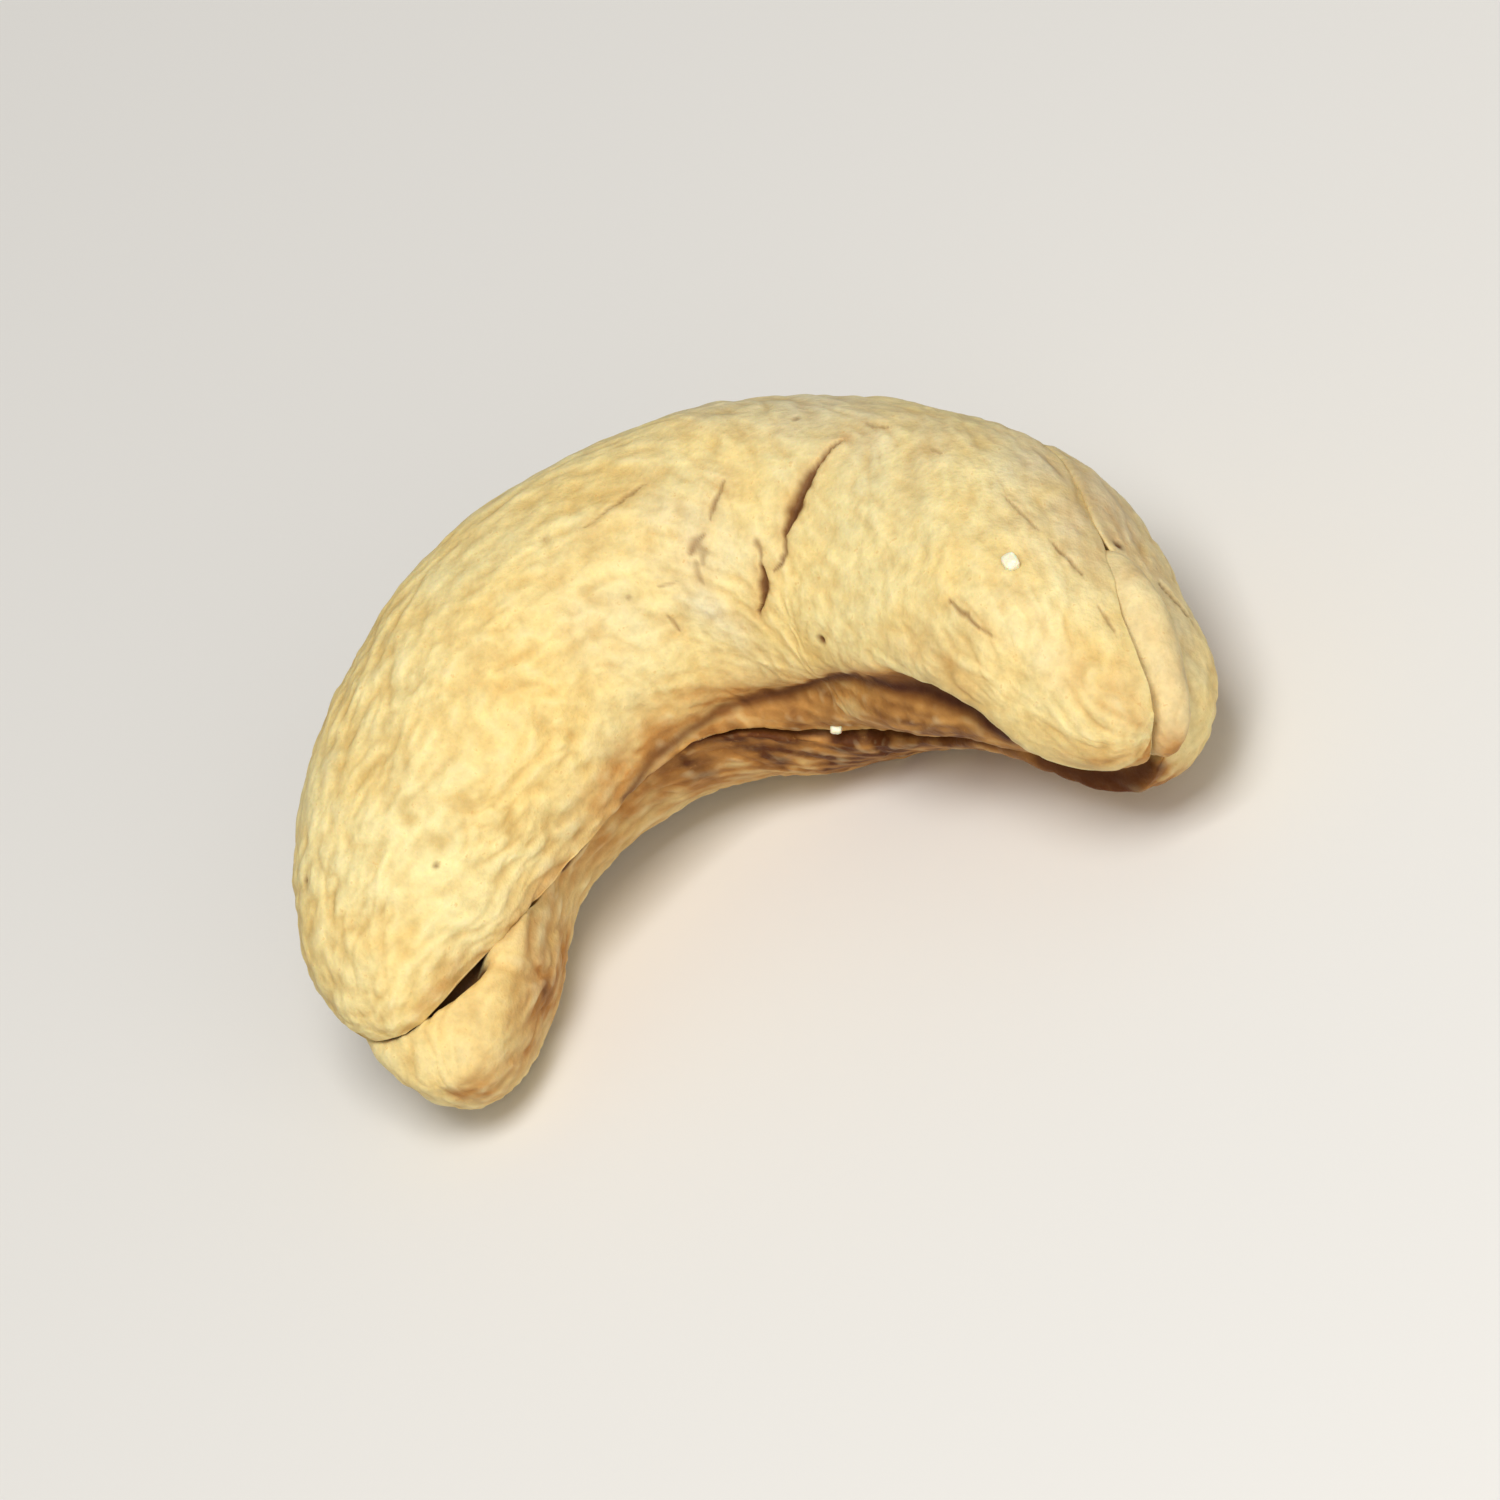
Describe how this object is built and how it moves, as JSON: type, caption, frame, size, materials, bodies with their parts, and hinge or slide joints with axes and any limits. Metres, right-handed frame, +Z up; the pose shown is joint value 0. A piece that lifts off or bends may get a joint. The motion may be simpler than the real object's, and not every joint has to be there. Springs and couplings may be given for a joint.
{
  "type": "roasted cashew nut",
  "caption": "Whole roasted cashew kernel, bent like a bean: thick halves lie face to face along a seam that is parted at one tip and holds the germ at the other.",
  "frame": {"origin": "middle of the lying kernel's box, at the surface it lies on", "axes": "+Z up, with the kernel on its side; +X from the parted tip to the germ tip; +Y from the crook to the bulging back"},
  "size_m": [0.028, 0.0182, 0.0119],
  "materials": {
    "upper_half": "pale golden roasted kernel, satin, finely wrinkled",
    "lower_half": "golden roasted kernel, satin, finely wrinkled",
    "germ": "golden roasted kernel, matte"
  },
  "bodies": {
    "root": {"upper_half": "upper_half", "lower_half": "lower_half", "germ": "germ"}
  },
  "joints": []
}
